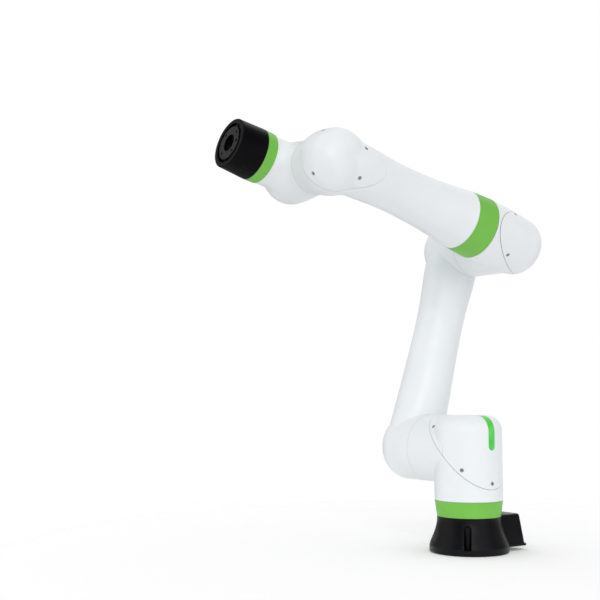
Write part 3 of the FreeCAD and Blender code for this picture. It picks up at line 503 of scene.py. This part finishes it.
# ---------------------------------------------------------------- gaskets in the caps' parting lines
CAPS = {                             # each cap, and the casting that it closes
    "turret_cap": "turret_casting",
    "lower_arm_shoulder_cap": "lower_arm_casting",
    "lower_arm_elbow_cap": "lower_arm_casting",
    "elbow_cap": "elbow_casting",
    "forearm_cap": "forearm_casting",
    "wrist_cap": "wrist_casting",
}
GASKET_CLEARANCE = 0.00004           # to the metal on each side
GASKET_DEPTH = 0.0022                # how far it reaches in from the surface
GASKET_SINK = 0.00025                # how far its lip lies below the surface
GASKET_STEP = 0.0015                 # between its cross-sections
LEAST_JOINT = 0.0005                 # the smallest parting face, in square metres
WIDEST_GAP = 0.003                   # between a cap and its casting
FACING = -0.999                      # the normals' product where two faces look at each other
WELD = 0.000001                      # vertices closer than this are one
# the round lip's outline as (depth, place across), in halves of the gasket's thickness
GASKET_LIP = ((0.6, -1.0), (0.15, -0.7), (0.0, 0.0), (0.15, 0.7), (0.6, 1.0))


def welded(node):
    """A node's mesh with its split vertices joined, as a bmesh."""
    mesh = bmesh.new()
    mesh.from_mesh(frame["nodes"][node].data)
    bmesh.ops.remove_doubles(mesh, verts=mesh.verts, dist=WELD)
    mesh.normal_update()
    return mesh


def flat_faces(mesh):
    """The mesh's larger flat faces, each as (area, its mesh faces)."""
    groups = {}
    for face in mesh.faces:
        offset = face.normal.dot(face.verts[0].co)
        key = (*(round(c, 3) for c in face.normal), round(offset / SAME_PLANE))
        groups.setdefault(key, []).append(face)
    areas = [(sum(face.calc_area() for face in faces), faces) for faces in groups.values()]
    return [(area, faces) for area, faces in areas if area > LEAST_JOINT]


def parting_face(cap, casting):
    """The cap's joint face, and the width of the gap to the casting's own face across from it."""
    pairs = []
    for area, faces in flat_faces(cap):
        normal = faces[0].normal
        for other_area, others in flat_faces(casting):
            gap = (others[0].verts[0].co - faces[0].verts[0].co).dot(normal)
            if others[0].normal.dot(normal) < FACING and 0 < gap < WIDEST_GAP:
                pairs.append((min(area, other_area), gap, faces))
    return max(pairs, key=lambda pair: pair[0])[1:]


def outer_loop(faces):
    """The longest outline of some flat faces, as points in order."""
    inside = set(faces)
    rim = [e for f in faces for e in f.edges if sum(other in inside for other in e.link_faces) == 1]
    links = {}
    for edge in rim:
        first, second = edge.verts
        links.setdefault(first, []).append(second)
        links.setdefault(second, []).append(first)
    loops = []
    while links:
        start = next(iter(links))
        loop = [start]
        current = start
        while current in links and links[current]:
            following = links[current].pop()
            if current in links.get(following, []):
                links[following].remove(current)
            if following is start:
                break
            loop.append(following)
            current = following
        for vertex in loop:
            links.pop(vertex, None)
        loops.append([v.co.copy() for v in loop])
    return max(loops, key=lambda points: sum((p - q).length for p, q in zip(points, points[1:])))


def respaced(points, step):
    """The same closed line with points at an even step."""
    closed = points + points[:1]
    lengths = [(q - p).length for p, q in zip(closed, closed[1:])]
    total = sum(lengths)
    count = round(total / step)
    result = []
    run, index = 0.0, 0
    for i in range(count):
        target = total * i / count
        while run + lengths[index] < target:
            run += lengths[index]
            index += 1
        share = (target - run) / lengths[index]
        result.append(closed[index].lerp(closed[index + 1], share))
    return result


def skin(mesh, rows):
    """Closes a loop of cross-sections into one surface."""
    for row, following in zip(rows, rows[1:] + rows[:1]):
        for i in range(len(row)):
            j = (i + 1) % len(row)
            mesh.faces.new((row[i], row[j], following[j], following[i]))
    bmesh.ops.recalc_face_normals(mesh, faces=mesh.faces)


def make_gasket(cap, casting):
    """A rubber bead along a cap's parting line, with a rounded lip just below the surface."""
    cap_mesh = welded(cap)
    casting_mesh = welded(casting)
    gap, faces = parting_face(cap_mesh, casting_mesh)
    normal = faces[0].normal.copy()
    loop = respaced(outer_loop(faces), GASKET_STEP)
    half = gap / 2 - GASKET_CLEARANCE
    lip = [(GASKET_SINK + half * back, half * across) for back, across in GASKET_LIP]
    section = [(GASKET_DEPTH, -half), *lip, (GASKET_DEPTH, half)]
    middle = sum(loop, Vector()) / len(loop)
    bead = bmesh.new()
    rows = []
    for index, point in enumerate(loop):
        tangent = (loop[(index + 1) % len(loop)] - loop[index - 1]).normalized()
        inward = tangent.cross(normal)
        if inward.dot(middle - point) < 0:
            inward.negate()
        centre = point + normal * (gap / 2)
        rows.append([bead.verts.new(centre + inward * depth + normal * height) for depth, height in section])
    skin(bead, rows)
    mesh = bpy.data.meshes.new(f"{cap}_gasket")
    bead.to_mesh(mesh)
    for made in (bead, cap_mesh, casting_mesh):
        made.free()
    mesh.polygons.foreach_set("use_smooth", [True] * len(mesh.polygons))
    return mesh


def add_object(name, data):
    thing = bpy.data.objects.new(name, data)
    bpy.context.scene.collection.objects.link(thing)
    return thing


def add_piece(name, mesh, beside):
    """A rubber piece that rides with a CAD node."""
    piece = add_object(name, mesh)
    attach(piece, frame["nodes"][beside]["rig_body"])


def add_gaskets():
    """Every cap has a grey gasket on its casting."""
    grey = rubber("gasket_rubber", GASKET_GREY)
    for cap, casting in CAPS.items():
        mesh = make_gasket(cap, casting)
        mesh.materials.append(grey)
        add_piece(f"{cap}_gasket", mesh, casting)


# ---------------------------------------------------------------- lip seals in the joints' running gaps
SEAL_REACH = 0.08                    # farther from the axis than any housing's end at its joint
SEAL_END = 0.0004                    # points this near a housing's end belong to its rim
SEAL_SINK = 0.00012                  # how far the seal lies below the housings' surface
SEAL_DEPTH = 0.0030                  # how far it reaches in from the surface
SEAL_CLEARANCE = 0.00012             # to the housing that turns
SEAL_SEGMENTS = 128
SEALED_BETWEEN = {                   # the housing that holds the seal, and the one that turns against it
    "j1": ("base_ring", "turret_casting"),
    "j2": ("turret_casting", "lower_arm_casting"),
    "j3": ("elbow_casting", "lower_arm_casting"),
    "j4": ("elbow_ring", "forearm_casting"),
    "j5": ("forearm_casting", "wrist_casting"),
    "j6": ("wrist_ring", "tool_housing"),
}


def end_rim(node, point, axis, side):
    """Where a housing ends on a joint's axis: the distance along the axis and the outer radius there. Side 1
    is its upper end, and side -1 its lower one."""
    spots = []
    for vertex in frame["nodes"][node].data.vertices:
        offset = vertex.co - point
        along = offset.dot(axis)
        radius = (offset - axis * along).length
        if radius < SEAL_REACH:
            spots.append((along, radius))
    end = max(side * along for along, _ in spots) * side
    return end, max(radius for along, radius in spots if abs(along - end) < SEAL_END)


def ring_mesh(name, point, axis, section):
    """A ring about an axis from a closed section of (distance along the axis, radius) points."""
    across = axis.orthogonal().normalized()
    ring = bmesh.new()
    rows = []
    for index in range(SEAL_SEGMENTS):
        out = Matrix.Rotation(math.tau * index / SEAL_SEGMENTS, 3, axis) @ across
        rows.append([ring.verts.new(point + axis * along + out * radius) for along, radius in section])
    skin(ring, rows)
    mesh = bpy.data.meshes.new(name)
    ring.to_mesh(mesh)
    ring.free()
    mesh.polygons.foreach_set("use_smooth", [True] * len(mesh.polygons))
    return mesh


def add_seals():
    """A lip seal closes each running gap: black beside the black tool, and pale elsewhere."""
    pale = rubber("pale_seal", SEAL_GREY)
    black = rubber("black_seal", RUBBER)
    for drive, (fixed, turning) in SEALED_BETWEEN.items():
        point, axis = joint_of(drive)
        if (centre_of(turning) - centre_of(fixed)).dot(axis) < 0:
            axis.negate()
        start, fixed_radius = end_rim(fixed, point, axis, 1)
        end, turning_radius = end_rim(turning, point, axis, -1)
        inner = min(fixed_radius, turning_radius) - SEAL_DEPTH
        lip = end - SEAL_CLEARANCE
        flush = [(start, fixed_radius - SEAL_SINK), (lip, turning_radius - SEAL_SINK)]
        section = [(start, inner), *flush, (lip, inner)]
        mesh = ring_mesh(f"{drive}_lip_seal", point, axis, section)
        mesh.materials.append(black if turning == "tool_housing" else pale)
        add_piece(f"{drive}_lip_seal", mesh, fixed)


# ---------------------------------------------------------------- studio
def make_floor():
    """A wide pale disc under the part."""
    disc = bmesh.new()
    bmesh.ops.create_circle(disc, cap_ends=True, segments=FLOOR_SEGMENTS, radius=FLOOR_RADIUS)
    mesh = bpy.data.meshes.new("studio_floor")
    disc.to_mesh(mesh)
    disc.free()
    mesh.materials.append(floor_finish())
    floor = add_object("studio_floor", mesh)
    floor.location.z = cad_bounds[0][2] - FLOOR_DROP


def make_sun(name, azimuth, elevation, strength, size):
    """A soft distant light from an azimuth, counted as the camera's is."""
    data = bpy.data.lights.new(name, "SUN")
    data.energy = strength
    data.angle = size
    sun = add_object(name, data)
    towards = Vector((math.sin(azimuth) * math.cos(elevation), math.cos(azimuth) * math.cos(elevation),
                      math.sin(elevation)))
    sun.rotation_euler = towards.to_track_quat("Z", "Y").to_euler()


def make_sky():
    """Even white surroundings, a little brighter from above. Mirror rays see soft light panels round the
    part, and the camera sees a plain white backdrop."""
    world = bpy.data.worlds.new("studio")
    bpy.context.scene.world = world
    world.use_nodes = True
    tree = world.node_tree
    tree.nodes.remove(tree.nodes["Background"])

    def add(kind, source=None, **settings):
        node = tree.nodes.new(kind)
        for key, value in settings.items():
            setattr(node, key, value)
        if source is not None:
            tree.links.new(source, node.inputs[0])
        return node

    def span(value, low, high, start=0.0, end=1.0):
        node = add("ShaderNodeMapRange", value)
        for name, number in (("From Min", start), ("From Max", end), ("To Min", low), ("To Max", high)):
            node.inputs[name].default_value = number
        return node.outputs["Result"]

    def white(strength):
        node = add("ShaderNodeBackground")
        node.inputs["Color"].default_value = (1.0, 1.0, 1.0, 1.0)
        if isinstance(strength, float):
            node.inputs["Strength"].default_value = strength
        else:
            tree.links.new(strength, node.inputs["Strength"])
        return node.outputs[0]

    def seen_by(ray, special, usual):
        node = add("ShaderNodeMixShader", path.outputs[ray])
        tree.links.new(usual, node.inputs[1])
        tree.links.new(special, node.inputs[2])
        return node.outputs[0]

    path = add("ShaderNodeLightPath")
    direction = add("ShaderNodeTexCoord").outputs["Generated"]
    height = add("ShaderNodeSeparateXYZ", direction).outputs["Z"]
    ambient = white(span(height, SKY_BOTTOM, SKY_TOP, -1.0))
    round_about = add("ShaderNodeTexGradient", direction, gradient_type="RADIAL").outputs["Fac"]
    wave = add("ShaderNodeMath", span(round_about, 0.0, math.tau * PANEL_COUNT), operation="SINE").outputs[0]
    panels = white(span(wave, PANEL_DARK, PANEL_BRIGHT, *PANEL_EDGE))
    sky = seen_by("Is Camera Ray", white(1.0), seen_by("Is Glossy Ray", panels, ambient))
    tree.links.new(sky, tree.nodes["World Output"].inputs["Surface"])


def make_camera():
    data = bpy.data.cameras.new("camera")
    data.sensor_width = SENSOR
    data.lens = LENS
    camera = add_object("camera", data)
    out = Vector((math.sin(VIEW_AZIMUTH), math.cos(VIEW_AZIMUTH), 0.0))
    camera.location = out * VIEW_DISTANCE + Vector((0.0, 0.0, VIEW_HEIGHT))
    camera.rotation_euler = (math.pi / 2 + VIEW_PITCH, 0.0, math.pi - VIEW_AZIMUTH + VIEW_YAW)
    bpy.context.scene.camera = camera


def make_studio():
    make_floor()
    make_sun("key_light", KEY_AZIMUTH, KEY_ELEVATION, KEY_STRENGTH, KEY_SIZE)
    make_sun("rim_light", RIM_AZIMUTH, KEY_ELEVATION, RIM_STRENGTH, KEY_SIZE)
    make_sky()
    make_camera()
    bpy.context.scene.view_settings.view_transform = "Standard"


dress_nodes()
add_gaskets()
add_seals()
make_studio()
